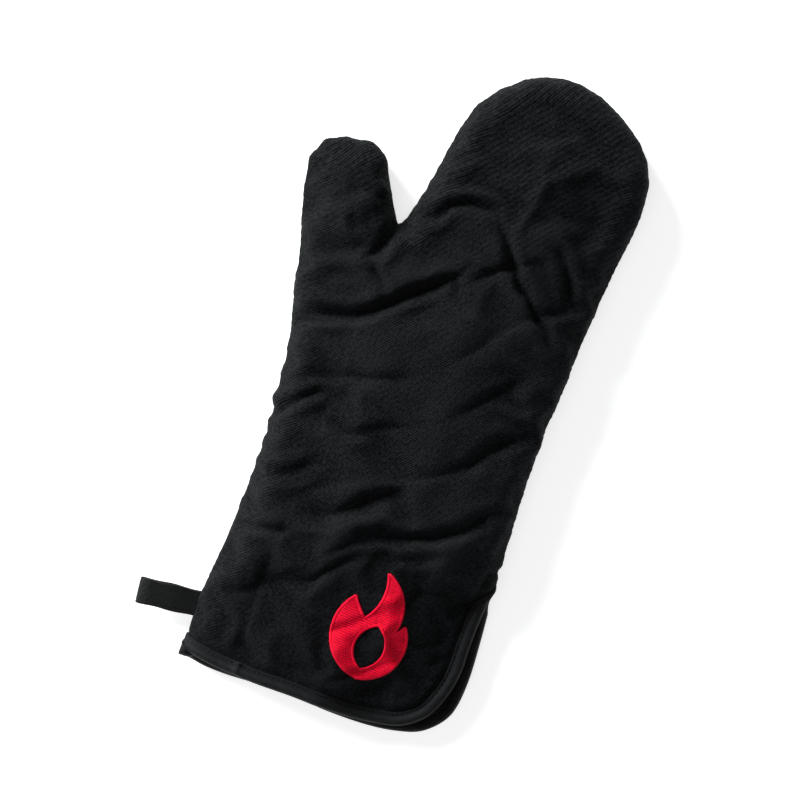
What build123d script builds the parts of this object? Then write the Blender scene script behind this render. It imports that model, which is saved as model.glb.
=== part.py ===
from build123d import *
import math
import os

# Long padded barbecue mitt, lying flat on its back panel with the emblem side up.
# X runs across the mitt (thumb towards -X), Y along it (fingers towards +Y), Z is up.
# The origin is the middle of the overall box, on the table. Millimetres.

# ---- overall shape ----
LENGTH = 432.0  # hem to finger end
THICKNESS = 42.0  # at the middle of the palm
HEM_Y = -LENGTH / 2
CUFF_LEFT_X = -71.3
CUFF_RIGHT_X = 108.7
CROWN_RADIUS = 2000.0  # the front panel is gently crowned
PALM_X = 18.0
TOP_ROUND = 12.0  # where the front panel turns down to the seam
BOTTOM_ROUND = 9.0
SEAM_Z = 12.0  # height of the seam that joins front and back panels
PAST_HEM = 40.0  # panels are drawn past the hem, then trimmed to it

# Corners of the sewn outline, each with the radius that rounds it.
OUTLINE = [
    ((CUFF_LEFT_X, HEM_Y - PAST_HEM), 0),
    ((-67.3, -66.0), 300.0),  # wrist
    ((-104.8, 136.0), 25.0),  # thumb, outer
    ((-57.3, 135.0), 24.0),  # thumb, inner
    ((-32.8, 87.0), 6.0),  # crotch
    ((-16.3, 190.0), 45.0),  # finger end
    ((9.7, 216.0), 50.0),
    ((77.7, 216.0), 60.0),
    ((112.2, 190.0), 40.0),
    ((98.7, -1.0), 300.0),  # wrist, little finger side
    ((CUFF_RIGHT_X, -156.0), 200.0),
    ((CUFF_RIGHT_X, HEM_Y - PAST_HEM), 0),
]

# ---- layers ----
SHELL = 0.8
BATTING = 6.0
LINING = 0.8
LINING_START = SHELL + BATTING
WALL = SHELL + BATTING + LINING

# ---- cuff ----
HEM_CORNER = 44.0  # rounded lower corner on the vent side
VENT_TOP_Y = -109.0
FRONT_HEM_STEP = 2.5  # the front panel stops this far short of the back one
BINDING_WIDTH = 8.5
BINDING_WRAP = 1.2  # tape folded over the edge of the batting
STITCH_FROM_EDGE = 1.0
STITCH_WIDTH = 0.8
STITCH_DEPTH = 0.5

# ---- folds ----
GAP = 0.4  # between sections that turn against each other
FINGER_FOLD_Y = 114.0
FINGER_AXIS_Z = 29.0
FINGER_NOTCH = 32.0  # half angle of the notch in the front panel
FINGER_SPAN = (-36.0, 140.0)
THUMB_FOLD_X = -43.5
THUMB_FOLD_Y = 102.3
THUMB_FOLD_ANGLE = 30.0
THUMB_AXIS_Z = 26.0
THUMB_NOTCH = 23.0
THUMB_SPAN = (-100.0, 6.0)

# ---- hanging loop ----
LOOP_TAPE_WIDTH = 17.0
LOOP_TAPE = 1.5
LOOP_HEIGHT = 8.4
LOOP_LENGTH = 37.5
LOOP_ROOT = (-77.0, -179.0, 10.4)
LOOP_DROOP = 6.5  # degrees that the loop leans towards the hem

# ---- emblem ----
EMBLEM_X = 39.7
EMBLEM_Y = -153.0
EMBLEM_PILE = 0.8

FAR = 400.0


def cushion(depth):
    """The whole mitt as one solid cushion with its outer `depth` mm peeled off all round."""
    corners = [corner for corner, _ in OUTLINE]
    radii = [radius for _, radius in OUTLINE]
    with BuildPart() as body:
        with BuildSketch(Plane.XY.offset(depth)):
            with BuildLine():
                FilletPolyline(*corners, radius=radii, close=True)
            make_face()
            if depth > 0:
                offset(amount=-depth)
        extrude(amount=THICKNESS + 10)
        with Locations((PALM_X, 0, THICKNESS - CROWN_RADIUS)):
            Sphere(CROWN_RADIUS - depth, mode=Mode.INTERSECT)
        faces = body.faces().sort_by(Axis.Z)
        fillet(sewn_edges(faces[-1]), radius=TOP_ROUND - depth)
        fillet(sewn_edges(body.faces().sort_by(Axis.Z)[0]), radius=BOTTOM_ROUND - depth)
    return body.part


def sewn_edges(face):
    """A face's edges, leaving out the straight one past the hem."""
    return [edge for edge in face.edges() if edge.center().Y > HEM_Y - PAST_HEM / 2]


def cuff_prism(inset, hem_step, side_step):
    """An upright prism of all that lies inside the cuff's bound edge, `inset` mm in from it."""
    hem = HEM_Y + hem_step + inset
    side = CUFF_RIGHT_X - side_step - inset
    with BuildPart() as prism:
        with BuildSketch(Plane.XY.offset(-5)):
            with BuildLine():
                FilletPolyline(
                    (-FAR, hem),
                    (side, hem),
                    (side, VENT_TOP_Y + inset),
                    (FAR, VENT_TOP_Y + inset),
                    (FAR, FAR),
                    (-FAR, FAR),
                    radius=[0, HEM_CORNER - side_step - inset, 0, 0, 0, 0],
                    close=True,
                )
            make_face()
        extrude(amount=THICKNESS + 10)
    return prism.part


def beyond_fold(side, axis_z, notch, span):
    """What lies beyond a fold, in the fold's own frame: X along it, Y towards the tip.

    `side` is 1 for the section that turns and -1 for what must be cleared from the hand.
    """
    near = side * GAP / 2
    top = THICKNESS + 10
    lean = side * (top - axis_z) * math.tan(math.radians(notch))
    with BuildPart() as beyond:
        with BuildSketch(Plane.YZ.offset(span[0])):
            with BuildLine():
                Polyline(
                    (near, -10),
                    (near, axis_z),
                    (near + lean, top),
                    (FAR, top),
                    (FAR, -10),
                    (near, -10),
                )
            make_face()
        extrude(amount=span[1] - span[0])
    return beyond.part


def fingers_prism(side):
    place = Location((0, FINGER_FOLD_Y, 0))
    return place * beyond_fold(side, FINGER_AXIS_Z, FINGER_NOTCH, FINGER_SPAN)


def thumb_prism(side):
    place = Location((THUMB_FOLD_X, THUMB_FOLD_Y, 0), (0, 0, THUMB_FOLD_ANGLE))
    return place * beyond_fold(side, THUMB_AXIS_Z, THUMB_NOTCH, THUMB_SPAN)


def slab(low, high):
    with BuildPart() as between:
        with Locations((0, 0, low)):
            Box(
                2 * FAR,
                2 * FAR,
                high - low,
                align=(Align.CENTER, Align.CENTER, Align.MIN),
            )
    return between.part


def save(part, name):
    part.label = name
    export_step(part, f"parts/{name}.step")


def combine(*steps):
    """Adds, intersects and subtracts parts in turn; each step is (part, mode)."""
    with BuildPart() as result:
        for part, mode in steps:
            add(part, mode=mode)
    return result.part


def flame():
    """A plain three-tongued flame, 70 mm tall, about its own middle."""
    cusps = [(0, -35), (18, 6), (11, -3), (-3, 35), (-8, 3), (-18, 15), (0, -35)]
    bulges = [(20, -20), (14, 0), (12, 19), (-2, 14), (-12, 7), (-23, -18)]
    with BuildSketch() as outline:
        with BuildLine():
            for start, bulge, end in zip(cusps, bulges, cusps[1:]):
                ThreePointArc(start, bulge, end)
        make_face()
        with BuildLine():
            ThreePointArc((0, -29), (10, -19), (2, 2))
            ThreePointArc((2, 2), (-9, -17), (0, -29))
        make_face(mode=Mode.SUBTRACT)
    return outline.sketch


os.makedirs("parts", exist_ok=True)

whole = {depth: cushion(depth) for depth in (0, SHELL, LINING_START, WALL, STITCH_DEPTH)}
halves = {
    "front": slab(SEAM_Z, THICKNESS + 10),
    "back": slab(-10, SEAM_Z),
}
edge_steps = {"front": (FRONT_HEM_STEP, WALL), "back": (0, 0)}
layers = {
    "shell": (0, SHELL, BINDING_WIDTH),
    "batting": (SHELL, LINING_START, BINDING_WRAP),
    "lining": (LINING_START, WALL, BINDING_WIDTH),
}

# Keeps the back batting below the binding along the top edge of the open vent.
with BuildPart() as vent_edge:
    with Locations((CUFF_RIGHT_X, VENT_TOP_Y, SEAM_Z - BINDING_WRAP)):
        Box(2 * BINDING_WIDTH, LENGTH, THICKNESS, align=(Align.CENTER, Align.MAX, Align.MIN))

for side, half in halves.items():
    steps = edge_steps[side]
    battings = {}
    for layer, (outer, inner, inset) in layers.items():
        panel = combine(
            (whole[outer], Mode.ADD),
            (whole[inner], Mode.SUBTRACT),
            (half, Mode.INTERSECT),
            (cuff_prism(inset, *steps), Mode.INTERSECT),
        )
        if side == "back" and layer == "batting":
            panel = combine((panel, Mode.ADD), (vent_edge.part, Mode.SUBTRACT))
        sections = {
            "fingers": combine((panel, Mode.ADD), (fingers_prism(1), Mode.INTERSECT)),
            "thumb": combine((panel, Mode.ADD), (thumb_prism(1), Mode.INTERSECT)),
            "hand": combine(
                (panel, Mode.ADD),
                (fingers_prism(-1), Mode.SUBTRACT),
                (thumb_prism(-1), Mode.SUBTRACT),
            ),
        }
        if layer == "batting":
            battings = sections
        for section, part in sections.items():
            save(part, f"{side}_{layer}_{section}")

    stitch_outer = BINDING_WIDTH - STITCH_FROM_EDGE - STITCH_WIDTH
    stitch_inner = BINDING_WIDTH - STITCH_FROM_EDGE
    stitching = combine(
        (whole[0], Mode.ADD),
        (whole[STITCH_DEPTH], Mode.SUBTRACT),
        (half, Mode.INTERSECT),
        (cuff_prism(stitch_outer, *steps), Mode.INTERSECT),
        (cuff_prism(stitch_inner, *steps), Mode.SUBTRACT),
    )
    save(stitching, f"{side}_binding_stitching")

    binding = combine(
        (whole[0], Mode.ADD),
        (whole[WALL], Mode.SUBTRACT),
        (half, Mode.INTERSECT),
        (cuff_prism(0, *steps), Mode.INTERSECT),
        (cuff_prism(BINDING_WIDTH, *steps), Mode.SUBTRACT),
        (battings["hand"], Mode.SUBTRACT),
        (stitching, Mode.SUBTRACT),
    )
    save(binding, f"{side}_cuff_binding")

with BuildPart() as emblem_flame:
    with BuildSketch(Plane.XY.offset(THICKNESS / 2)):
        add(flame())
    extrude(amount=THICKNESS)
    emblem_centre = (PALM_X - EMBLEM_X, -EMBLEM_Y, THICKNESS - CROWN_RADIUS)
    with Locations(emblem_centre):
        Sphere(CROWN_RADIUS + EMBLEM_PILE, mode=Mode.INTERSECT)
        Sphere(CROWN_RADIUS, mode=Mode.SUBTRACT)
save(Location((EMBLEM_X, EMBLEM_Y, 0)) * emblem_flame.part, "emblem_flame")

with BuildPart() as hanging_loop:
    with BuildSketch(Plane.XZ.offset(-LOOP_TAPE_WIDTH / 2)):
        loop_middle = (LOOP_HEIGHT - LOOP_LENGTH) / 2
        with Locations((loop_middle, 0)):
            SlotOverall(LOOP_LENGTH, LOOP_HEIGHT)
            SlotOverall(
                LOOP_LENGTH - 2 * LOOP_TAPE,
                LOOP_HEIGHT - 2 * LOOP_TAPE,
                mode=Mode.SUBTRACT,
            )
    extrude(amount=LOOP_TAPE_WIDTH)
save(Location(LOOP_ROOT, (0, 0, LOOP_DROOP)) * hanging_loop.part, "hanging_loop")
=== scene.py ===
"""A long padded barbecue mitt, lying flat with its emblem side up.

X runs across the mitt (thumb towards -X), Y along it (fingers towards +Y) and Z is up. Lengths are
millimetres until make_object turns them into metres. A panel is drawn flat, as a pattern, and
shape() puts each pattern point in its place.
"""
import math

import bpy
import numpy as np
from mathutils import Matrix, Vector, bvhtree, geometry, kdtree


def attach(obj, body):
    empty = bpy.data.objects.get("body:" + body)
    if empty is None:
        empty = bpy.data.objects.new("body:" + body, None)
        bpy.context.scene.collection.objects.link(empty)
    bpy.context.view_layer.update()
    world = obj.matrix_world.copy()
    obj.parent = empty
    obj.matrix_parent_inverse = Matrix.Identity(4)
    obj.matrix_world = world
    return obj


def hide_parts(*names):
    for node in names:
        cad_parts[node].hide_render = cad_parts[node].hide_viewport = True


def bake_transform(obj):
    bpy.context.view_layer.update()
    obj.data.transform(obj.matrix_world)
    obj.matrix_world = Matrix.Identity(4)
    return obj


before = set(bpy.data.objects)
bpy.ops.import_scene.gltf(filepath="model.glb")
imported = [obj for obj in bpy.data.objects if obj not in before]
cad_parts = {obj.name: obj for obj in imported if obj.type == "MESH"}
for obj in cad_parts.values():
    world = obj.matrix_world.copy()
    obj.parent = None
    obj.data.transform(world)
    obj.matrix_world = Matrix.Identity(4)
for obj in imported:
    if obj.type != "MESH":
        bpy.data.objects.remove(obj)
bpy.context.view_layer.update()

MM = 0.001
UV_SCALE = 0.01  # UV units per millimetre of the flat pattern
HEM = -216.0
SEAM_Z = 12.0  # height of the seam that joins the front and back panels
FRONT_WIDTH = 20.0  # the front panel turns level over this much cloth, in from the seam
FRONT_RISE = 17.5  # how far it climbs while it turns
FRONT_CROWN = 10.0  # and how much further towards the middle
BACK_WIDTH = 13.0
HEM_LIFT = 1.8  # the bound edge of the back panel lies this far off the table, on its binding
DEEPEST = 4.3  # how far a crease may sink into the padding
MOST_PUFF = 4.2  # how far the cloth simulation may move a point
VENT_Z = 17.0  # outer face of the front panel along the vent's edge
WALL = 7.6  # shell, batting and lining together
EMBLEM = np.array([39.7, -153.0])
CROTCH = np.array([-33.8, 93.0])
THUMB_ALONG = np.array([0.8660254, 0.5])  # the thumb's fold line
THUMB_OUT = np.array([-0.5, 0.8660254])  # square to it, towards the thumb's tip
LAYERS = {  # mesh spacing, then how deep the outer and inner faces lie under the shell's outer face
    "shell": (2.1, 0.0, 0.8),
    "batting": (2.9, 1.25, 6.5),
    "lining": (3.6, 6.8, WALL),
}
BATTING_INSET = 2.2  # the batting stops this far in from the seam

# ------------------------------------------------------------------ outlines

# Read off the photograph and then adjusted: the seam, from the cuff's left side over the thumb and the
# fingers to its right side, and the bound edges of the two panels, from the left seam round the corner
# and up the vent.
SEWN = [
    (-71.6, -262), (-71.6, -208), (-71.8, -168), (-69.6, -136), (-68.4, -106), (-68.2, -66),
    (-70, -40), (-73.4, -10), (-79.4, 18), (-85.2, 42), (-90.4, 64), (-97.6, 88), (-101.4, 104),
    (-101.6, 116), (-97, 126), (-88, 132.4), (-76, 135.2), (-64.5, 134.8), (-56, 130), (-50, 120.5),
    (-42.6, 107), (-36.4, 96.8), (-33.8, 93), (-31, 98), (-26.6, 113), (-22.6, 135), (-19.2, 158),
    (-13.5, 179), (-4.4, 193), (11, 207), (25, 213.5), (41.7, 216), (58.5, 213.6), (74, 207.2),
    (90, 196.8), (102.4, 183), (108.6, 169), (110.5, 148), (108.8, 126), (105.2, 92), (102.4, 48),
    (100.2, 4), (100.5, -30), (102.8, -72), (105, -112), (107.5, -140), (109.2, -168), (109.2, -262),
]
BACK_EDGE = [
    (-71.6, -214.4), (-54, -217), (-40, -217.4), (-24, -216.6), (-6, -215.4), (12, -216.2),
    (30, -217.4), (56, -217), (74, -214.6), (90, -209.6), (100.2, -201.2), (105.8, -192.6),
    (108, -184), (109, -172), (108.8, -156), (107.4, -138), (105.8, -120), (104.7, -104),
]
FRONT_EDGE = [
    (-71.6, -209.8), (-60, -211.6), (-44, -213.2), (-20, -213.8), (6, -213.4), (30, -214.2),
    (44, -214.6), (62, -212.8), (77.6, -208.8), (91.2, -198), (99, -181.6), (102.2, -165), (102, -149),
    (102.1, -132), (103.4, -116), (104.8, -104),
]


def curve_through(points, step):
    """Points about `step` apart on a smooth curve through the given ones."""
    p = np.array(points, float)
    p = np.vstack([2 * p[0] - p[1], p, 2 * p[-1] - p[-2]])
    out = []
    for a, b, c, d in zip(p, p[1:], p[2:], p[3:]):
        t = np.linspace(0, 1, 24, endpoint=False)[:, None]
        ta, tb, tc = (max(np.linalg.norm(v), 1e-6) ** 0.5 for v in (b - a, c - b, d - c))
        m1 = (c - b) + tb * ((b - a) / ta - (c - a) / (ta + tb))
        m2 = (c - b) + tb * ((d - c) / tc - (d - b) / (tb + tc))
        out.append((2 * t**3 - 3 * t**2 + 1) * b + (t**3 - 2 * t**2 + t) * m1
                   + (-2 * t**3 + 3 * t**2) * c + (t**3 - t**2) * m2)
    return resample(np.vstack(out + [p[-2:-1]]), step)


def resample(line, step):
    """The same line with its points an even distance apart, about `step`."""
    run = np.concatenate([[0], np.cumsum(np.linalg.norm(np.diff(line, axis=0), axis=1))])
    at = np.linspace(0, run[-1], max(2, int(round(run[-1] / step)) + 1))
    return np.stack([np.interp(at, run, line[:, k]) for k in range(line.shape[1])], 1)


sewn = curve_through(SEWN, 2.0)


def nearest(points, line, chunk=4000):
    """Distance, nearest point, inward unit direction and place along the line, for each point."""
    a, d = line[:-1], np.diff(line, axis=0)
    length2 = (d**2).sum(1)
    inward = np.stack([d[:, 1], -d[:, 0]], 1) / np.sqrt(length2)[:, None]
    run = np.concatenate([[0], np.cumsum(np.sqrt(length2))])
    out = [[], [], [], []]
    for i in range(0, len(points), chunk):
        p = points[i:i + chunk]
        t = np.clip(((p[:, None] - a) * d).sum(2) / length2, 0, 1)
        q = a + t[..., None] * d
        far = ((p[:, None] - q) ** 2).sum(2)
        k = far.argmin(1)
        row = np.arange(len(p))
        near, s = q[row, k], np.sqrt(far[row, k])
        n = np.where(s[:, None] > 0.05, (p - near) / np.maximum(s, 1e-9)[:, None], inward[k])
        for got, value in zip(out, (s, near, n, run[k] + t[row, k] * np.sqrt(length2[k]))):
            got.append(value)
    return [np.concatenate(x) for x in out]


def smooth(low, high, x):
    """Goes smoothly from 0 at `low` to 1 at `high`."""
    t = np.clip((x - low) / (high - low), 0, 1)
    return t * t * (3 - 2 * t)


def wander(points, size, seed):
    """Smooth noise of about +-1 with features `size` across."""
    r = np.random.default_rng(seed)
    out = np.zeros(len(points))
    for _ in range(14):
        angle, phase = r.uniform(0, 2 * math.pi, 2)
        k = 2 * math.pi / (size * r.uniform(0.75, 1.5))
        out += np.sin(k * (points[:, 0] * math.cos(angle) + points[:, 1] * math.sin(angle)) + phase)
    return out / 3.4


# ------------------------------------------------------------------ the two faces

# The sharper creases, read off the photograph: points along each one, its depth and its half width.
CREASES = [
    ([(-77, 17), (-60, 22), (-41, 28), (-23, 40), (-7, 54), (10, 69), (22, 84)], 4.6, 3.6),
    ([(-76, 11), (-58, 16), (-42, 21)], 1.4, 2.2),
    ([(-42, 62), (-33, 55), (-24, 47)], 3.0, 2.6),
    ([(-34, 94), (-37, 82), (-41, 69), (-49, 64)], 3.4, 3.6),
    ([(-25, 100), (-14, 102), (-6, 111), (6, 117), (20, 116), (30, 109)], 4.0, 3.0),
    ([(25, 113), (34, 103), (40, 92), (52, 79), (63, 69), (76, 57)], 4.2, 3.4),
    ([(48, 84), (67, 68), (83, 48)], 2.4, 3.0),
    ([(64, 112), (76, 98), (88, 79)], 3.0, 2.8),
    ([(-61, 105), (-47, 101)], 2.4, 2.6),
    ([(-65, 86), (-56, 78)], 2.0, 2.8),
    ([(13, 69), (17, 58)], 1.6, 2.6),
    ([(-69, -51), (-53, -34), (-37, -21)], 3.2, 3.0),
    ([(-35, -39), (-20, -43), (-1, -40)], 2.4, 2.8),
    ([(-39, -98), (-20, -98), (-3, -89), (14, -75), (31, -58)], 3.6, 4.6),
    ([(10, -99), (37, -94), (64, -80), (81, -63), (98, -54)], 2.6, 3.6),
    ([(56, -45), (68, -22), (84, -11)], 2.0, 3.6),
    ([(65, 12), (83, 6)], 1.6, 3.0),
    ([(-62, -120), (-45, -118), (-28, -113)], 2.4, 2.8),
    ([(-57, -85), (-45, -81), (-26, -63)], 2.2, 3.4),
    ([(-26, -148), (-7, -138), (8, -121), (27, -109)], 2.8, 4.6),
    ([(77, -165), (94, -156)], 1.8, 2.8),
    ([(-66, 45), (-52, 51), (-42, 50)], 1.6, 3.0),
]
FOLD_ANGLE = math.radians(35)  # the soft folds run this way across the palm
FOLD_PITCH = 36.5
FOLD_START = 46.0  # the fold line through the root of the thumb, measured square to the folds


def crease_field(p):
    """Dips along the creases that the mitt's use has set, each with a raised lip on both sides."""
    out = np.zeros(len(p))
    for points, depth, width in CREASES:
        line = curve_through(points, 3.0)
        s, _, _, run = nearest(p, line)
        length = np.linalg.norm(np.diff(line, axis=0), axis=1).sum()
        ends = smooth(-0.02, 0.28, run / length) * smooth(-0.02, 0.28, 1 - run / length)
        lip = np.exp(-((s - 2.3 * width) / (1.3 * width)) ** 2)
        out += depth * ends * (0.42 * lip - np.exp(-np.abs(s / width) ** 1.3))
    return out


def relief(p, s, run, front):
    """How far the padded cloth stands above its smooth form."""
    seed = 1 if front else 40
    square = p @ np.array([-math.sin(FOLD_ANGLE), math.cos(FOLD_ANGLE)])
    phase = (square - FOLD_START) / FOLD_PITCH + 0.14 * wander(p, 120, seed + 5)
    trough = 1 - np.abs(np.sin(math.pi * phase))
    band = 1.1 - 3.2 * trough**2.5 * (0.6 + 0.4 * wander(p, 70, seed + 6))
    calm = 1 - 0.9 * smooth(95, 140, p[:, 1]) - 0.45 * smooth(-120, -150, p[:, 1])
    out = 0.9 * band * calm * smooth(6, 30, s)
    lumps = 0.8 * wander(p, 46, seed) * (0.4 + 0.6 * calm)
    ripples = 0.3 * wander(p, 17, seed + 1) * (0.35 + 0.65 * calm)
    out += lumps + ripples
    pucker = run / 15.5 + 0.55 * np.sin(run / 41.0) + 0.35 * np.sin(run / 17.3 + 2)
    pull = np.sin(2 * math.pi * pucker) * (0.6 + 0.4 * np.sin(run / 29.0 + 1))
    gather = (0.2 + 0.8 * smooth(60, 20, p[:, 0])) * (1 - 0.6 * smooth(110, 150, p[:, 1]))
    out += 0.9 * pull * gather * np.exp(-((s - 7) / 7.5) ** 2)
    out += 0.22 * np.sin(2 * math.pi * run / 5.3 + np.sin(run / 9)) * np.exp(-(s / 4.0) ** 2)
    if front:
        out += crease_field(p)
        out *= 0.3 + 0.7 * smooth(30, 52, np.linalg.norm(p - EMBLEM, axis=1))
    return out * smooth(0.0, 3.0, s)


edges = {"front": curve_through(FRONT_EDGE, 2.0), "back": curve_through(BACK_EDGE, 2.0)}
vent_line = edges["front"][edges["front"][:, 0] > 44]


def vent_open(p):
    """1 where the side is left open as a vent, 0 where the two faces are sewn together."""
    return smooth(-105, -123, p[:, 1]) * smooth(15, 60, p[:, 0])


def thumb_reach(p):
    """How far a point lies past the root of the thumb, towards its tip."""
    return np.where(p[:, 0] < CROTCH[0], (p - CROTCH) @ THUMB_OUT, -1.0)


def shape(pattern, front, detail=True):
    """The outer face of one panel: each flat pattern point (x, y) to its place in space."""
    s, near, n, run = nearest(pattern, sewn)
    width = FRONT_WIDTH if front else BACK_WIDTH
    vent = vent_open(pattern)
    turn = math.pi / 2 * np.minimum(s / width, 1)
    wall = np.where(s < width, width * (1 - np.cos(turn)), s) + 0.9 * np.exp(-((s / 1.7) ** 2))
    inside = wall + vent * (s - wall)
    p = near + n * inside[:, None]
    hem = nearest(p, edges["front" if front else "back"])[0]
    if front:
        tip = smooth(-10, 32, thumb_reach(p))
        size = 1 - tip * (0.18 - 0.42 * np.clip((p[:, 0] + 74) / 34, -1, 1))
        size *= 1 - 0.10 * smooth(120, 216, p[:, 1])
        size *= 0.62 + 0.38 * smooth(HEM, HEM + 120, p[:, 1])
        crown = FRONT_CROWN * (1 - np.exp(-((inside / 45) ** 2)))
        z = SEAM_Z + size * (FRONT_RISE * np.sin(turn) + crown)
        from_vent = nearest(p, vent_line)[0]
        level = SEAM_Z + size * (FRONT_RISE + crown)
        flap = VENT_Z + (level - VENT_Z) * (1 - np.exp(-((from_vent / 32) ** 2)))
        z += vent * (flap - z)
    else:
        lift = HEM_LIFT * smooth(26, 7, hem)
        z = lift + (SEAM_Z - lift) * (1 - np.sin(turn)) * (1 - vent)
    base = np.column_stack([p, z])
    if not detail:
        return base
    proud = np.clip(relief(p, s, run, front), -DEEPEST, 3.0)
    if not front:
        proud = np.minimum(proud, 0.0) * 0.8 * smooth(2, 14, s)
    proud = proud * smooth(6, 28, hem) - 1.7 * np.exp(-((hem - 9.4) / 2.4) ** 2)
    lean = np.cos(turn) * (1 - vent)
    out = np.column_stack([-n * lean[:, None], (1 if front else -1) * np.sqrt(1 - lean**2)])
    return base + out * proud[:, None]


def to_pattern(plan, front):
    """Flat pattern points that end up at these places in plan."""
    s, near, n, _ = nearest(plan, sewn)
    s = np.where(inside_polygon(plan, sewn), s, 0)
    width = FRONT_WIDTH if front else BACK_WIDTH
    vent = vent_open(plan)
    low, high = np.zeros(len(s)), np.full(len(s), width)
    for _ in range(24):
        flat = (low + high) / 2
        less = vent * flat + (1 - vent) * width * (1 - np.cos(math.pi / 2 * flat / width)) < s
        low, high = np.where(less, flat, low), np.where(less, high, flat)
    return near + n * np.where(s < width, flat, s)[:, None]


# ------------------------------------------------------------------ meshes

def inside_polygon(p, poly):
    """Which points lie inside a closed outline."""
    x, y = p[:, 0], p[:, 1]
    hit = np.zeros(len(p), bool)
    for (x0, y0), (x1, y1) in zip(poly, np.roll(poly, -1, axis=0)):
        cross = (y0 > y) != (y1 > y)
        hit ^= cross & (x < (x1 - x0) * (y - y0) / (y1 - y0 + 1e-12) + x0)
    return hit


def panel_outline(front):
    """The panel's outline in the flat: its seam, then its bound edge, which ends inside the binding."""
    edge = to_pattern(edges["front" if front else "back"], front)
    d = np.gradient(edge, axis=0)
    n = np.stack([-d[:, 1], d[:, 0]], 1) / np.linalg.norm(d, axis=1)[:, None]
    edge = edge + 2.6 * n  # inside the binding
    edge = edge[edge[:, 1] < -108]  # below the vent's top end, where binding and seam meet
    corner_y = edge[0, 1]
    on_left = (sewn[:, 1] > corner_y + 0.6) & (sewn[:, 0] < 60)
    seam = sewn[on_left | (sewn[:, 1] > -106)]
    edge = edge[edge[:, 0] > -70.6]
    return seam, edge[::-1]


def flat_mesh(front, spacing, inset=0):
    """Triangles over the flat pattern, with the thumb's border along whole edges."""
    seam, edge = panel_outline(front)
    if spacing > 3:
        seam = resample(seam, spacing)
    closing = resample(np.vstack([seam[-1:], edge, seam[:1]]), min(spacing, 3))
    outline = np.vstack([seam, closing[1:-1]])
    if np.linalg.norm(outline[0] - outline[-1]) < 0.5:
        outline = outline[:-1]
    # The thumb's border runs from the crotch to where the fold line meets the outer seam.
    _, k = min((float(np.linalg.norm(q - CROTCH - (q - CROTCH) @ THUMB_ALONG * THUMB_ALONG)), i)
               for i, q in enumerate(outline) if q[0] < -70 and q[1] > 20)
    k_crotch = int(np.linalg.norm(outline - CROTCH, axis=1).argmin())
    outline[k_crotch] = CROTCH
    if inset:
        s, near, inward, _ = nearest(outline, sewn)
        outline = near + inward * np.maximum(s, inset)[:, None]
    root = outline[k_crotch]
    cut = np.linspace(outline[k], root, int(np.linalg.norm(outline[k] - root) / spacing) + 1)[1:-1]
    low, high = outline.min(0), outline.max(0)
    rows = np.arange(low[1], high[1], spacing * 0.866)
    cols = np.arange(low[0], high[0], spacing)
    grid = np.array([(x + (spacing / 2 if j % 2 else 0), y) for j, y in enumerate(rows) for x in cols])
    grid = grid[inside_polygon(grid, outline)]
    room = 0.55 * spacing
    grid = grid[nearest(grid, np.vstack([outline, outline[:1]]))[0] > room]
    grid = grid[nearest(grid, np.vstack([outline[k], cut, root]))[0] > room]
    points = np.vstack([outline, cut, grid])
    n, m = len(outline), len(cut)
    fixed = [(i, (i + 1) % n) for i in range(n)]
    chain = [k] + list(range(n, n + m)) + [k_crotch]
    fixed += list(zip(chain, chain[1:]))
    verts, _, faces, _, _, _ = geometry.delaunay_2d_cdt([Vector(p) for p in points], fixed, [], 1, 1e-4)
    verts = np.array([(v.x, v.y) for v in verts])
    faces = np.array(faces)
    a, b, c = (verts[faces[:, i]] for i in range(3))
    area = (b - a)[:, 0] * (c - a)[:, 1] - (b - a)[:, 1] * (c - a)[:, 0]
    faces[area < 0] = faces[area < 0][:, ::-1]
    middle = (a + b + c) / 3
    keep = inside_polygon(middle, outline)
    faces, middle = faces[keep], middle[keep]
    d = root - outline[k]
    side = d[0] * (middle - outline[k])[:, 1] - d[1] * (middle - outline[k])[:, 0]
    is_thumb = (side > 0) & (middle[:, 0] < CROTCH[0] + 0.5) & (middle[:, 1] > 40)
    return verts, faces, is_thumb


def vertex_normals(v, f):
    """Unit normals of the vertices, each averaged from its triangles by area."""
    n = np.zeros_like(v)
    fn = np.cross(v[f[:, 1]] - v[f[:, 0]], v[f[:, 2]] - v[f[:, 0]])
    for k in range(3):
        np.add.at(n, f[:, k], fn)
    return n / np.maximum(np.linalg.norm(n, axis=1), 1e-12)[:, None]


def even(v, f, values, times):
    """Averages values over neighbouring vertices."""
    for _ in range(times):
        total, count = np.zeros_like(values), np.zeros(len(v))
        for a, b in ((0, 1), (1, 2), (2, 0)):
            np.add.at(total, f[:, a], values[f[:, b]])
            np.add.at(total, f[:, b], values[f[:, a]])
            np.add.at(count, f[:, a], 1)
            np.add.at(count, f[:, b], 1)
        values = 0.5 * values + 0.5 * total / count[:, None]
    return values


def make_object(name, verts, faces, uv=None, normals=None, proud=None):
    """A Blender object from millimetres, with the flat pattern as its UV map."""
    mesh = bpy.data.meshes.new(name)
    mesh.from_pydata((np.asarray(verts) * MM).tolist(), [], [list(map(int, f)) for f in faces])
    mesh.polygons.foreach_set("use_smooth", [True] * len(mesh.polygons))
    if uv is not None:
        layer = mesh.uv_layers.new(name="flat")
        loops = np.zeros(len(mesh.loops), int)
        mesh.loops.foreach_get("vertex_index", loops)
        layer.data.foreach_set("uv", (np.asarray(uv)[loops] * UV_SCALE).ravel())
    if proud is not None:
        mesh.attributes.new("proud", "FLOAT", "POINT").data.foreach_set("value", proud)
    if normals is not None:
        mesh.normals_split_custom_set_from_vertices(np.asarray(normals).tolist())
    obj = bpy.data.objects.new(name, mesh)
    bpy.context.scene.collection.objects.link(obj)
    return obj


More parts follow.
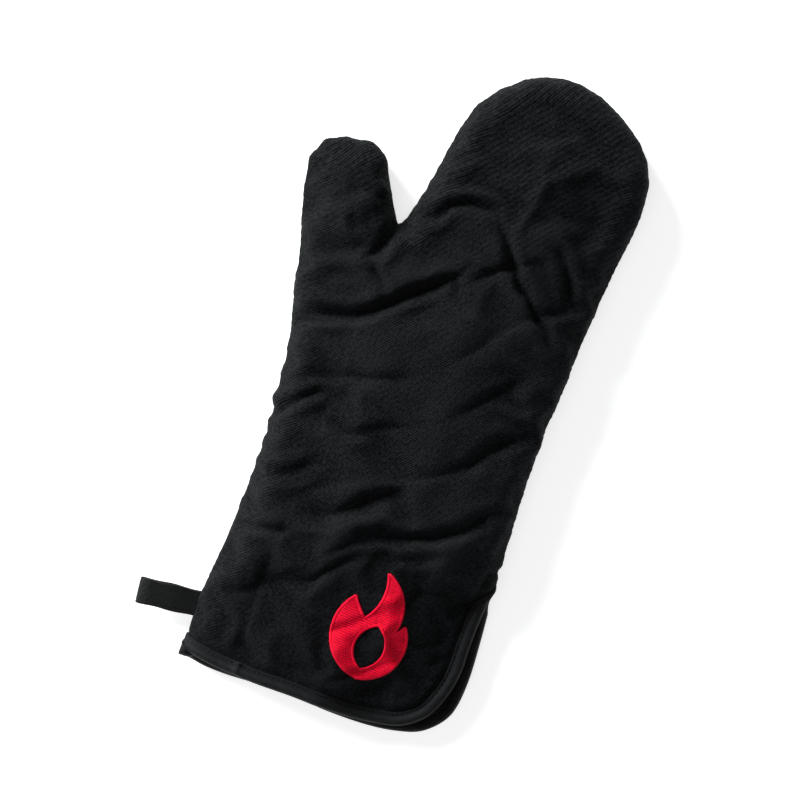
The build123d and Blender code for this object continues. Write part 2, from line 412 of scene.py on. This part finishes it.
def thick_piece(name, outer, inner, faces, uv, outer_normals, proud=None):
    """A closed sheet between two surfaces that share their triangles."""
    used = np.unique(faces)
    index = -np.ones(len(outer), int)
    index[used] = np.arange(len(used))
    f = index[faces]
    n = len(used)
    sides = np.vstack([f[:, [0, 1]], f[:, [1, 2]], f[:, [2, 0]]])
    _, first, counts = np.unique(np.sort(sides, axis=1), axis=0, return_index=True, return_counts=True)
    rim = sides[first[counts == 1]]
    walls = [(b, a, a + n, b + n) for a, b in rim]
    verts = np.vstack([outer[used], inner[used]])
    normals = np.vstack([outer_normals[used], -outer_normals[used]])
    proud = None if proud is None else np.tile(proud[used], 2)
    all_faces = list(f) + list(f[:, ::-1] + n) + walls
    return make_object(name, verts, all_faces, np.vstack([uv[used]] * 2), normals, proud)


def panel_pieces(front):
    """Shell, batting and lining of one face, each as a main piece and a thumb piece."""
    side = "front" if front else "back"
    made = {}
    puff = settle(front)
    for layer, (spacing, out, deep) in LAYERS.items():
        flat, faces, is_thumb = flat_mesh(front, spacing, BATTING_INSET if layer == "batting" else 0)
        if not front:
            faces = faces[:, ::-1]
        core = shape(flat, front, detail=False)
        inward = -even(core, faces, vertex_normals(core, faces), 4)
        inward /= np.linalg.norm(inward, axis=1)[:, None]
        skin = core if layer == "lining" else shape(flat, front)
        if puff and layer != "lining":
            skin = skin + settled_move(flat, puff) * smooth(0, 6, nearest(flat, sewn)[0])[:, None]
            skin[:, 2] = np.maximum(skin[:, 2], 0)
        sunk = ((skin - core) * inward).sum(1)
        too_deep = np.maximum(sunk - DEEPEST, 0)
        skin = skin - inward * too_deep[:, None]
        sunk -= too_deep
        # The shell's height above its smooth form is kept for the twill's colour: darker in the creases as
        # painted shade, lighter where it stands proud as wear.
        proud = -sunk if layer == "shell" else None
        if layer == "lining":
            core = skin = core + inward * 0.4 * wander(flat, 30, 77)[:, None]
        depth = sunk.copy()
        if layer == "batting":  # lies as deep as its deepest neighbour, so it can't come through the shell
            for a, b in ((0, 1), (1, 2), (2, 0)):
                np.maximum.at(depth, faces[:, a], sunk[faces[:, b]])
                np.maximum.at(depth, faces[:, b], sunk[faces[:, a]])
            depth = np.minimum(depth, deep - 0.3 - out)
        outer, inner = skin + inward * (out + depth - sunk)[:, None], core + inward * deep
        if layer == "shell":
            inner = skin + inward * deep
        normals = vertex_normals(outer, faces)
        for part, mask in (("", ~is_thumb), ("_thumb", is_thumb)):
            name = f"{side}_{layer}_panel{part}"
            made[layer + part] = thick_piece(name, outer, inner, faces[mask], flat, normals, proud)
        if layer == "shell":
            made["skin"] = (skin, faces)
    return made


# ------------------------------------------------------------------ puffing up

def settle(front):
    """A short cloth simulation that puffs the face up between its stitched edges.

    Returns its flat points and how far each one moves.
    """
    flat, faces, _ = flat_mesh(front, 3.8)
    if not front:
        faces = faces[:, ::-1]
    start = shape(flat, front)
    obj = make_object("settling", start, faces)
    edge = nearest(flat, sewn)[0]
    hem = nearest(shape(flat, front, detail=False)[:, :2], edges["front" if front else "back"])[0]
    crease = np.clip(-crease_field(flat) / 2.5, 0, 1) if front else np.zeros(len(flat))
    calm = 2.5 * smooth(104, 134, flat[:, 1]) + 3 * smooth(50, 34, np.linalg.norm(flat - EMBLEM, axis=1))
    hold = np.maximum(smooth(11, 2, np.minimum(edge, hem - 8)), 0.30 * crease + 0.02 + 0.12 * calm)
    group = obj.vertex_groups.new(name="hold")
    for i, weight in enumerate(np.clip(hold, 0, 1)):
        group.add([i], float(weight), "REPLACE")
    cloth = obj.modifiers.new("cloth", "CLOTH").settings
    cloth.quality = 6
    cloth.mass = 0.3
    cloth.tension_stiffness = cloth.compression_stiffness = 25
    cloth.shear_stiffness = 12
    cloth.bending_stiffness = 0.08
    cloth.shrink_min = -0.055  # the cloth is a little too large for its edges, so it wrinkles
    cloth.use_pressure = True
    cloth.uniform_pressure_force = 4.0 if front else 0.5
    cloth.vertex_group_mass = "hold"
    cloth.pin_stiffness = 1.5
    cloth.effector_weights.gravity = 0
    scene = bpy.context.scene
    for step in range(1, 21):
        scene.frame_set(step)
    settled = obj.evaluated_get(bpy.context.evaluated_depsgraph_get()).data
    end = np.zeros(len(flat) * 3)
    settled.vertices.foreach_get("co", end)
    scene.frame_set(1)
    move = end.reshape(-1, 3) / MM - start
    bpy.data.meshes.remove(obj.data)
    far = np.linalg.norm(move, axis=1)
    return flat, move * (np.minimum(far, MOST_PUFF) / np.maximum(far, 1e-6))[:, None]


def settled_move(points, puff):
    """The simulation's movement at other flat points, averaged from the nearest ones."""
    flat, move = puff
    tree = kdtree.KDTree(len(flat))
    for i, (x, y) in enumerate(flat):
        tree.insert((x, y, 0), i)
    tree.balance()
    out = np.zeros((len(points), 3))
    for i, (x, y) in enumerate(points):
        found = tree.find_n((x, y, 0), 6)
        weights = np.array([math.exp(-((d / 3.2) ** 2)) for _, _, d in found]) + 1e-9
        out[i] = weights @ move[[k for _, k, _ in found]] / weights.sum()
    return out


# ------------------------------------------------------------------ materials

def material(name, colour, rough=0.9, sheen=0.25, sheen_tint=(0.7, 0.8, 0.85), weave=None, fuzz=0.0,
             vary=0.15, gloss=0.1, wear_and_crease_shade=0.0, flecks=0.3, fresh=None):
    """Cloth: colour variation, woven ribs and a fine nap, all placed by the flat pattern's coordinates.

    Each rib of `weave` is (angle in degrees, period in mm, height, twist). The wear and crease shade
    argument lightens what stands proud, as wear, and darkens the creases, as painted shade. Between the
    two places that `fresh` gives along the mitt, worn ribs turn into fresh ones.
    """
    mat = bpy.data.materials.new(name)
    mat.use_nodes = True
    nodes, links = mat.node_tree.nodes, mat.node_tree.links
    shader = nodes["Principled BSDF"]
    shader.inputs["Roughness"].default_value = rough
    shader.inputs["Sheen Weight"].default_value = sheen
    shader.inputs["Sheen Roughness"].default_value = 0.45
    shader.inputs["Sheen Tint"].default_value = (*sheen_tint, 1)
    shader.inputs["Specular IOR Level"].default_value = gloss
    uv = nodes.new("ShaderNodeUVMap")
    uv.uv_map = "flat"

    def noise(scale, detail=3.0):
        n = nodes.new("ShaderNodeTexNoise")
        n.inputs["Scale"].default_value = scale
        n.inputs["Detail"].default_value = detail
        links.new(uv.outputs["UV"], n.inputs["Vector"])
        return n.outputs["Fac"]

    def math_node(kind, a, b):
        n = nodes.new("ShaderNodeMath")
        n.operation = kind
        for socket, value in zip(n.inputs, (a, b)):
            if isinstance(value, (int, float)):
                socket.default_value = value
            else:
                links.new(value, socket)
        return n.outputs[0]

    height = None
    for angle, period, weight, twist in weave or ():
        turn = nodes.new("ShaderNodeMapping")
        turn.inputs["Rotation"].default_value[2] = math.radians(angle)
        links.new(uv.outputs["UV"], turn.inputs["Vector"])
        wave = nodes.new("ShaderNodeTexWave")
        wave.wave_profile = "SIN"
        wave.bands_direction = "Y"
        wave.inputs["Scale"].default_value = 2 * math.pi / (20 * period * UV_SCALE)
        wave.inputs["Distortion"].default_value = twist
        wave.inputs["Detail"].default_value = 2
        wave.inputs["Detail Scale"].default_value = 2.0
        links.new(turn.outputs[0], wave.inputs["Vector"])
        rib = math_node("MULTIPLY", wave.outputs["Fac"], weight)
        if fresh and height is None:  # handling has worn the ribs down everywhere but at the finger end
            part = nodes.new("ShaderNodeSeparateXYZ")
            links.new(uv.outputs["UV"], part.inputs[0])
            along = nodes.new("ShaderNodeMapRange")
            for socket, value in zip(("From Min", "From Max", "To Min", "To Max"), (*fresh, 0.55, 1.8)):
                along.inputs[socket].default_value = value
            links.new(part.outputs["Y"], along.inputs["Value"])
            rib = math_node("MULTIPLY", rib, along.outputs[0])
        height = rib if height is None else math_node("ADD", height, rib)
    nap = math_node("MULTIPLY", noise(160, 4), fuzz)
    height = nap if height is None else math_node("ADD", height, nap)
    fleck = noise(52, 2)
    height = math_node("ADD", height, math_node("MULTIPLY", fleck, fuzz))
    bump = nodes.new("ShaderNodeBump")
    bump.inputs["Strength"].default_value = 1.0
    bump.inputs["Distance"].default_value = 0.001
    links.new(height, bump.inputs["Height"])
    links.new(bump.outputs[0], shader.inputs["Normal"])
    mix = nodes.new("ShaderNodeMix")
    mix.data_type = "RGBA"
    low = [max(c * (1 - vary * 1.5), 0) for c in colour]
    high = [min(c * (1 + vary * 1.5), 1) for c in colour]
    mix.inputs["A"].default_value = (*low, 1)
    mix.inputs["B"].default_value = (*high, 1)
    shade = math_node("ADD", math_node("MULTIPLY", noise(6, 5), 0.35), math_node("MULTIPLY", fleck, flecks))
    shade = math_node("ADD", shade, 0.3 - flecks / 2)
    # Painted shade and wear: the colour darkens where the shell sinks into creases and lightens where it
    # stands proud.
    if wear_and_crease_shade:
        proud = nodes.new("ShaderNodeAttribute")
        proud.attribute_name = "proud"
        shade = math_node("ADD", shade, math_node("MULTIPLY", proud.outputs["Fac"], wear_and_crease_shade))
    links.new(shade, mix.inputs["Factor"])
    links.new(mix.outputs["Result"], shader.inputs["Base Color"])
    return mat


# The twill's colour carries painted shade in the creases and wear on the ridges, from the shell's proud
# height.
TWILL = material("black_twill", (0.0064, 0.0069, 0.0077), rough=0.85, sheen=0.04,
                 weave=[(-51, 3.4, 0.22, 2.0), (-51, 1.3, 0.3, 1.0)], fuzz=0.9, gloss=0.06, vary=0.55,
                 wear_and_crease_shade=0.06, flecks=2.5, fresh=(0.6, 1.4))
BATTING = material("batting_felt", (0.7, 0.68, 0.63), rough=1.0, sheen=0.3, sheen_tint=(1, 1, 1), fuzz=0.8)
LINING = material("lining_cotton", (0.011, 0.0115, 0.012), rough=0.9, sheen=0.04,
                  weave=[(0, 0.9, 0.12, 0.3), (90, 0.9, 0.12, 0.3)], fuzz=0.2, gloss=0.08)
BINDING = material("binding_tape", (0.0070, 0.0074, 0.0082), rough=0.65, sheen=0.02,
                   weave=[(45, 0.8, 0.1, 0.2)], fuzz=0.25, gloss=0.14, vary=0.35)
THREAD = material("black_thread", (0.010, 0.0105, 0.0115), rough=0.5, sheen=0.05, fuzz=0.1, gloss=0.2)
RED = material("red_thread", (0.95, 0.003, 0.036), rough=0.5, sheen=0.0, fuzz=0.1, vary=0.1, gloss=0.12)
TAPE = material("loop_tape", (0.0048, 0.0051, 0.0055), rough=0.6, sheen=0.02,
                weave=[(0, 1.0, 0.15, 0.2)], fuzz=0.3, gloss=0.15, vary=0.6, flecks=1.5)


def finish_piece(obj, mat, slot):
    """Gives a piece its material. `slot`, the record's slot that it stands for, is not used."""
    obj.data.materials.append(mat)
    return obj


# ------------------------------------------------------------------ panels

panels = {side: panel_pieces(side == "front") for side in ("front", "back")}
looks = {
    "shell": (TWILL, "black_twill"),
    "batting": (BATTING, "white_batting"),
    "lining": (LINING, "black_lining"),
}
for side, made in panels.items():
    for layer, look in looks.items():
        main = finish_piece(made[layer], *look)
        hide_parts(f"{side}_{layer}_hand", f"{side}_{layer}_fingers")
        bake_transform(main)
        thumb = finish_piece(made[layer + "_thumb"], *look)
        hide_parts(f"{side}_{layer}_thumb")
        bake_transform(thumb)


# ------------------------------------------------------------------ bindings

BINDING_STEP = 1.0  # between the tape's sections along the edge
SECTION_STEP = 0.6  # between points round a section
GROOVE = (7.45, 0.45)  # where the stitches lie: in from the edge, and below the face
STITCH_SAMPLE = 0.25  # the stitch line is cut into pieces this long
STITCH_SAMPLES, STITCH_PITCH = 10, 13  # one stitch, and from one to the next
STITCH_STOP = 76  # the stitches end this many pieces before the vent's top


def edge_frames(edge, front, step):
    """Along a bound edge: the cloth's outer corner, inward, out of the face, and along the edge."""
    flat = resample(to_pattern(edge, front), step)
    d = np.gradient(flat, axis=0)
    d /= np.linalg.norm(d, axis=1)[:, None]
    inward = np.stack([-d[:, 1], d[:, 0]], 1)
    here = shape(flat, front, detail=False)
    ahead = shape(flat + 0.5 * inward, front, detail=False)
    before, after = shape(flat - 0.5 * d, front, detail=False), shape(flat + 0.5 * d, front, detail=False)
    u = ahead - here
    u /= np.linalg.norm(u, axis=1)[:, None]
    t = after - before
    t /= np.linalg.norm(t, axis=1)[:, None]
    n = np.cross(t, u)
    n /= np.linalg.norm(n, axis=1)[:, None]
    n *= np.sign((n[:, 2] * (1 if front else -1)).sum())
    for _ in range(3):
        n[1:-1] = (n[:-2] + 2 * n[1:-1] + n[2:]) / 4
        u[1:-1] = (u[:-2] + 2 * u[1:-1] + u[2:]) / 4
    n /= np.linalg.norm(n, axis=1)[:, None]
    u -= (u * n).sum(1)[:, None] * n
    u /= np.linalg.norm(u, axis=1)[:, None]
    return here, u, n, t


def binding_section():
    """The tape folded round the edge: (inward, out of the face) all round, with a stitched groove."""
    top = [(9.2, -1.6), (9.2, -0.5), (8.7, 0.1), (8.1, 0.05), (7.45, -0.75), (6.8, -0.05), (6.1, 0.75),
           (5.2, 1.3), (4.0, 1.5), (2.8, 1.35), (1.7, 0.8), (0.8, -0.3), (0.25, -1.8), (0.0, -WALL / 2)]
    under = [(x, -WALL - y) for x, y in top[:-1]][::-1]
    return np.array(top + under)


def tube_faces(rings, count):
    """Faces of a closed tube: `rings` rings of `count` points each, and a cap on both ends."""
    faces = []
    for k in range(rings - 1):
        here, ahead = k * count, (k + 1) * count
        for i in range(count):
            j = (i + 1) % count
            faces.append((here + i, here + j, ahead + j, ahead + i))
    last = (rings - 1) * count
    return faces + [tuple(range(count))[::-1], tuple(last + i for i in range(count))]


def binding(name, edge, front):
    """The tape swept along a bound edge, rolled a little unevenly. Also returns the edge's frames."""
    here, u, n, t = edge_frames(edge, front, BINDING_STEP)
    section = binding_section()
    fine = resample(np.vstack([section, section[:1]]), SECTION_STEP)[:-1]
    run = np.arange(len(here)) * BINDING_STEP
    swell = 0.20 * np.sin(run / 6.1 + 0.7 * np.sin(run / 23)) + 0.12 * np.sin(run / 2.9 + 1)
    close = 1 - 0.55 * smooth(run[-1] - 16, run[-1], run)
    around = np.arange(len(fine)) * SECTION_STEP
    verts, uvs = [], []
    for k in range(len(here)):
        v = fine[:, 1]
        roll = np.exp(-((fine[:, 0] - 3.8) / 2.6) ** 2) * np.sign(v + WALL / 2)
        lift = roll * (swell[k] + 0.10 * np.sin(run[k] / 1.3 + fine[:, 0] * 0.9))
        end = 1.3 * math.exp(-run[k] / 2.5)
        inward = np.outer(fine[:, 0] * close[k], u[k])
        outward = np.outer((v + lift) * close[k], n[k])
        verts.append(here[k] - t[k] * end + inward + outward)
        uvs.append(np.column_stack([np.full(len(fine), run[k]), around]))
    faces = tube_faces(len(here), len(fine))
    if not front:
        faces = [f[::-1] for f in faces]
    obj = make_object(name, np.vstack(verts), faces, np.vstack(uvs))
    return finish_piece(obj, BINDING, "binding_tape"), (here, u, n)


def threads(name, starts, ends, up, radius, arch, mat, slot):
    """Short stitches, each a thin rounded thread from start to end that arches `up` in the middle."""
    axis = ends - starts
    length = np.linalg.norm(axis, axis=1)
    axis = axis / length[:, None]
    sideways = np.cross(axis, up)
    sideways /= np.linalg.norm(sideways, axis=1)[:, None]
    up = np.cross(sideways, axis)
    # place along the stitch, share of the radius, share of the arch
    stations = [(0.0, 0.45, 0.0), (0.15, 0.9, 0.7), (0.5, 1.0, 1.0), (0.85, 0.9, 0.7), (1.0, 0.45, 0.0)]
    sides = 6
    angles = 2 * math.pi * np.arange(sides) / sides
    verts = []
    for along, size, lift in stations:
        centre = starts + axis * (length * along)[:, None] + up * arch * lift
        ring = [centre + radius * size * (math.cos(a) * sideways + math.sin(a) * up) for a in angles]
        verts.append(np.stack(ring, 1))
    verts = np.stack(verts, 1)
    count = len(starts)
    base = np.arange(count)[:, None] * (len(stations) * sides)
    quads = []
    for k in range(len(stations) - 1):
        for i in range(sides):
            j = (i + 1) % sides
            quads.append((k * sides + i, k * sides + j, (k + 1) * sides + j, (k + 1) * sides + i))
    faces = (base[:, :, None] + np.array(quads)[None]).reshape(-1, 4).tolist()
    last = (len(stations) - 1) * sides
    faces += (base + np.arange(sides)[::-1]).tolist() + (base + last + np.arange(sides)).tolist()
    uv = verts.reshape(-1, 3)[:, :2]
    obj = make_object(name, verts.reshape(-1, 3), faces, uv)
    return finish_piece(obj, mat, slot)


for side, edge in edges.items():
    front = side == "front"
    tape, (here, u, n) = binding(f"{side}_cuff_binding_tape", edge, front)
    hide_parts(f"{side}_cuff_binding")
    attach(tape, "mitt")
    line = resample(here + GROOVE[0] * u - GROOVE[1] * n, STITCH_SAMPLE)
    pick = np.arange(2, len(line) - STITCH_STOP, STITCH_PITCH)
    starts, ends = line[pick], line[pick + STITCH_SAMPLES]
    up = np.stack([np.interp(pick / len(line), np.linspace(0, 1, len(n)), n[:, k]) for k in range(3)], 1)
    stitches = threads(f"{side}_binding_stitches", starts, ends, up, radius=0.32, arch=0.12,
                       mat=THREAD, slot="black_thread")
    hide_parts(f"{side}_binding_stitching")
    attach(stitches, "mitt")

# ------------------------------------------------------------------ emblem

FILL_ANGLE = math.radians(18)
FILL_PITCH, FILL_LENGTH, FILL_INSET, FILL_HEIGHT = 0.42, 4.6, 0.5, 0.30
BORDER_PITCH, BORDER_WIDTH, HOLLOW_BORDER_WIDTH, BORDER_HEIGHT = 0.40, 2.1, 1.9, 0.40
FLAME_REACH = 46  # the rows of stitches run this far to each side of the flame's middle
ROW_STEP = 0.4  # between points along a row

skin_points, skin_faces = panels["front"]["skin"]
skin_tree = bvhtree.BVHTree.FromPolygons(
    [Vector(p) for p in skin_points], [tuple(map(int, f)) for f in skin_faces])


def on_skin(x, y):
    """The point of the front shell at (x, y), and the shell's normal there."""
    hit, normal, _, _ = skin_tree.ray_cast(Vector((x, y, 100)), Vector((0, 0, -1)))
    return np.array(hit), np.array(normal)


def arc(a, b, c, count=14):
    """Points on the circle through a, b and c, from a to c."""
    a, b, c = (np.array(p, float) for p in (a, b, c))
    d = 2 * (a[0] * (b[1] - c[1]) + b[0] * (c[1] - a[1]) + c[0] * (a[1] - b[1]))
    ux = ((a @ a) * (b[1] - c[1]) + (b @ b) * (c[1] - a[1]) + (c @ c) * (a[1] - b[1])) / d
    uy = ((a @ a) * (c[0] - b[0]) + (b @ b) * (a[0] - c[0]) + (c @ c) * (b[0] - a[0])) / d
    o = np.array([ux, uy])
    start, middle, end = (math.atan2(*(p - o)[::-1]) for p in (a, b, c))
    sweep = (end - start) % (2 * math.pi)
    if (middle - start) % (2 * math.pi) > sweep:
        sweep -= 2 * math.pi
    at = start + sweep * np.linspace(0, 1, count)
    return o + np.linalg.norm(a - o) * np.stack([np.cos(at), np.sin(at)], 1)


FLAME_CUSPS = [(0, -35), (18, 6), (11, -3), (-3, 35), (-8, 3), (-18, 15), (0, -35)]
FLAME_BULGES = [(20, -20), (14, 0), (12, 19), (-2, 14), (-12, 7), (-23, -18)]
flame = np.vstack([arc(a, b, c)[:-1] for a, b, c in zip(FLAME_CUSPS, FLAME_BULGES, FLAME_CUSPS[1:])])
hollow = np.vstack([arc((0, -29), (10, -19), (2, 2))[:-1], arc((2, 2), (-9, -17), (0, -29))[:-1]])


def fill_rows():
    """Rows of stitches that fill the flame, each row cut where it leaves it."""
    direction = np.array([math.cos(FILL_ANGLE), math.sin(FILL_ANGLE)])
    across = np.array([-direction[1], direction[0]])
    closed_flame, closed_hollow = np.vstack([flame, flame[:1]]), np.vstack([hollow, hollow[:1]])
    starts, ends = [], []
    at = np.arange(-FLAME_REACH, FLAME_REACH, ROW_STEP)
    for row, offset in enumerate(np.arange(-FLAME_REACH, FLAME_REACH, FILL_PITCH)):
        p = across * offset + direction * at[:, None]
        ok = inside_polygon(p, flame) & ~inside_polygon(p, hollow)
        ok &= (nearest(p, closed_flame)[0] > FILL_INSET) & (nearest(p, closed_hollow)[0] > FILL_INSET)
        run = 0
        stitch = (at + (row % 4) * FILL_LENGTH / 4) // FILL_LENGTH
        for i in range(1, len(at)):
            if ok[i] and not ok[i - 1]:
                run = i
            if ok[i - 1] and (not ok[i] or stitch[i] != stitch[i - 1]):
                if i - run > 2:
                    starts.append(p[run])
                    ends.append(p[i - 1])
                run = i
    return np.array(starts), np.array(ends)


def border_stitches(line, width):
    """Stitches side by side across a closed outline."""
    closed = resample(np.vstack([line, line[:1]]), BORDER_PITCH)
    d = np.gradient(closed, axis=0)
    d /= np.linalg.norm(d, axis=1)[:, None]
    n = np.stack([d[:, 1], -d[:, 0]], 1)
    return closed - n * width / 2, closed + n * width / 2


def raised(flat, height):
    """Emblem points laid on the shell, `height` above it, and the shell's normals there."""
    out, ups = [], []
    for x, y in flat + EMBLEM:
        hit, normal = on_skin(x, y)
        out.append(hit + normal * height)
        ups.append(normal)
    return np.array(out), np.array(ups)


fill_starts, fill_ends = fill_rows()
borders = [border_stitches(flame, BORDER_WIDTH), border_stitches(hollow, HOLLOW_BORDER_WIDTH)]
border_starts = np.vstack([pair[0] for pair in borders])
border_ends = np.vstack([pair[1] for pair in borders])
start_fill, up_fill = raised(fill_starts, FILL_HEIGHT)
end_fill, _ = raised(fill_ends, FILL_HEIGHT)
start_border, up_border = raised(border_starts, BORDER_HEIGHT)
end_border, _ = raised(border_ends, BORDER_HEIGHT)
emblem = threads("embroidered_flame", np.vstack([start_fill, start_border]),
                 np.vstack([end_fill, end_border]), np.vstack([up_fill, up_border]),
                 radius=0.27, arch=0.25, mat=RED, slot="red_thread")
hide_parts("emblem_flame")
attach(emblem, "mitt")

# ------------------------------------------------------------------ hanging loop

LOOP_ROOT = np.array([-77.2, -180.8, 10.4])
LOOP_LEAN = math.radians(6.5)  # towards the hem
LOOP_STEP = 0.8
LOOP_HALF_WIDTH = 8.3
# The tape's middle line, seen along the tape's width: out from the root, and up.
LOOP_PATH = [
    (-9, 1.2), (-4, 1.6), (2, 2.2), (10, 3.0), (20, 3.2), (28, 3.0), (32, 1.6), (33.2, -0.3),
    (32, -2.2), (28, -3.3), (20, -3.4), (10, -2.9), (2, -1.6), (-4, -0.6), (-9, -0.4),
]


def tape_section():
    """The tape's section: (across, out of its face) all round, with a woven edge on both sides."""
    half = LOOP_HALF_WIDTH
    face = [(-half, 0.0), (-half + 0.35, 0.62), (-half + 1.2, 0.78), (-half + 1.9, 0.55),
            (-half + 2.6, 0.75), (0, 0.78), (half - 2.6, 0.75), (half - 1.9, 0.55), (half - 1.2, 0.78),
            (half - 0.35, 0.62), (half, 0.0)]
    section = np.array(face + [(x, -y) for x, y in face[-2:0:-1]])
    return resample(np.vstack([section, section[:1]]), 0.7)[:-1]


def loop_tape(out_dir):
    """The tape swept along LOOP_PATH, in the upright plane that holds `out_dir`."""
    wide_dir = np.array([-math.sin(LOOP_LEAN), math.cos(LOOP_LEAN), 0.0])
    up_dir = np.array([0, 0, 1.0])
    path = curve_through(LOOP_PATH, LOOP_STEP)
    d = np.gradient(path, axis=0)
    d /= np.linalg.norm(d, axis=1)[:, None]
    square = np.stack([-d[:, 1], d[:, 0]], 1)
    section = tape_section()
    verts, uvs = [], []
    for k, (q, m) in enumerate(zip(path, square)):
        centre = LOOP_ROOT + out_dir * q[0] + up_dir * q[1]
        normal = out_dir * m[0] + up_dir * m[1]
        narrow = 1 - 0.03 * math.sin(k * 0.21)
        verts.append(centre + np.outer(section[:, 0] * narrow, wide_dir) + np.outer(section[:, 1], normal))
        uvs.append(np.column_stack([np.full(len(section), k * LOOP_STEP), section[:, 0]]))
    faces = [face[::-1] for face in tube_faces(len(path), len(section))]
    return make_object("hanging_loop_tape", np.vstack(verts), faces, np.vstack(uvs))


loop_out = np.array([-math.cos(LOOP_LEAN), -math.sin(LOOP_LEAN), 0.0])
loop = finish_piece(loop_tape(loop_out), TAPE, "loop_tape")
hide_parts("hanging_loop")
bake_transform(loop)

# ------------------------------------------------------------------ floor, light, camera

FLOOR_REACH = 30.0  # metres, so that its far edge lies near the horizon in a low view
FLOOR_Z = -0.0004  # metres
PHOTO_TILT = math.radians(20)  # the mitt lies this far round in the picture
LENS, SENSOR = 90, 36  # camera, millimetres
VIEW_HALF = 0.25625  # metres from the middle of the picture to its side
CAMERA_AIM = (0.0056, -0.0132, 0.012)  # metres

floor_mesh = bpy.data.meshes.new("floor")
floor_corners = [(x * FLOOR_REACH, y * FLOOR_REACH, FLOOR_Z) for x, y in ((-1, -1), (1, -1), (1, 1), (-1, 1))]
floor_mesh.from_pydata(floor_corners, [], [(0, 1, 2, 3)])
floor = bpy.data.objects.new("floor", floor_mesh)
bpy.context.scene.collection.objects.link(floor)
pale = bpy.data.materials.new("pale_floor")
pale.use_nodes = True
pale_shader = pale.node_tree.nodes["Principled BSDF"]
pale_shader.inputs["Base Color"].default_value = (0.9, 0.9, 0.9, 1)
pale_shader.inputs["Roughness"].default_value = 0.9
pale_shader.inputs["Emission Color"].default_value = (1, 1, 1, 1)
pale_shader.inputs["Emission Strength"].default_value = 0.7
floor.data.materials.append(pale)

world = bpy.data.worlds.new("studio")
world.use_nodes = True
world.node_tree.nodes["Background"].inputs["Color"].default_value = (0.96, 0.98, 1, 1)
world.node_tree.nodes["Background"].inputs["Strength"].default_value = 0.13
bpy.context.scene.world = world


def sun(name, towards, height, power, softness, colour=(1, 1, 1)):
    """A large soft lamp far away, `towards` a direction in plan and `height` degrees up."""
    data = bpy.data.lights.new(name, "SUN")
    data.energy, data.angle, data.color = power, math.radians(softness), colour
    light = bpy.data.objects.new(name, data)
    flat = Vector((*towards, 0)).normalized() * math.cos(math.radians(height))
    shine_from = Vector((flat.x, flat.y, math.sin(math.radians(height))))
    light.rotation_euler = shine_from.to_track_quat("Z", "Y").to_euler()
    bpy.context.scene.collection.objects.link(light)


# In the picture up is (-0.342, 0.940) and right is (0.940, 0.342): the key comes from its upper left.
sun("key", towards=(-0.906, 0.423), height=22, power=6.2, softness=28, colour=(0.97, 1.0, 1.0))
sun("overhead", towards=(-0.3, -0.6), height=72, power=0.4, softness=40)

camera_data = bpy.data.cameras.new("camera")
camera_data.lens, camera_data.sensor_width = LENS, SENSOR
camera = bpy.data.objects.new("camera", camera_data)
distance = VIEW_HALF / (SENSOR / 2 / LENS)
camera.location = (CAMERA_AIM[0], CAMERA_AIM[1], CAMERA_AIM[2] + distance)
camera.rotation_euler = (0, 0, PHOTO_TILT)
bpy.context.scene.collection.objects.link(camera)
bpy.context.scene.camera = camera

scene = bpy.context.scene
scene.view_settings.view_transform = "Standard"
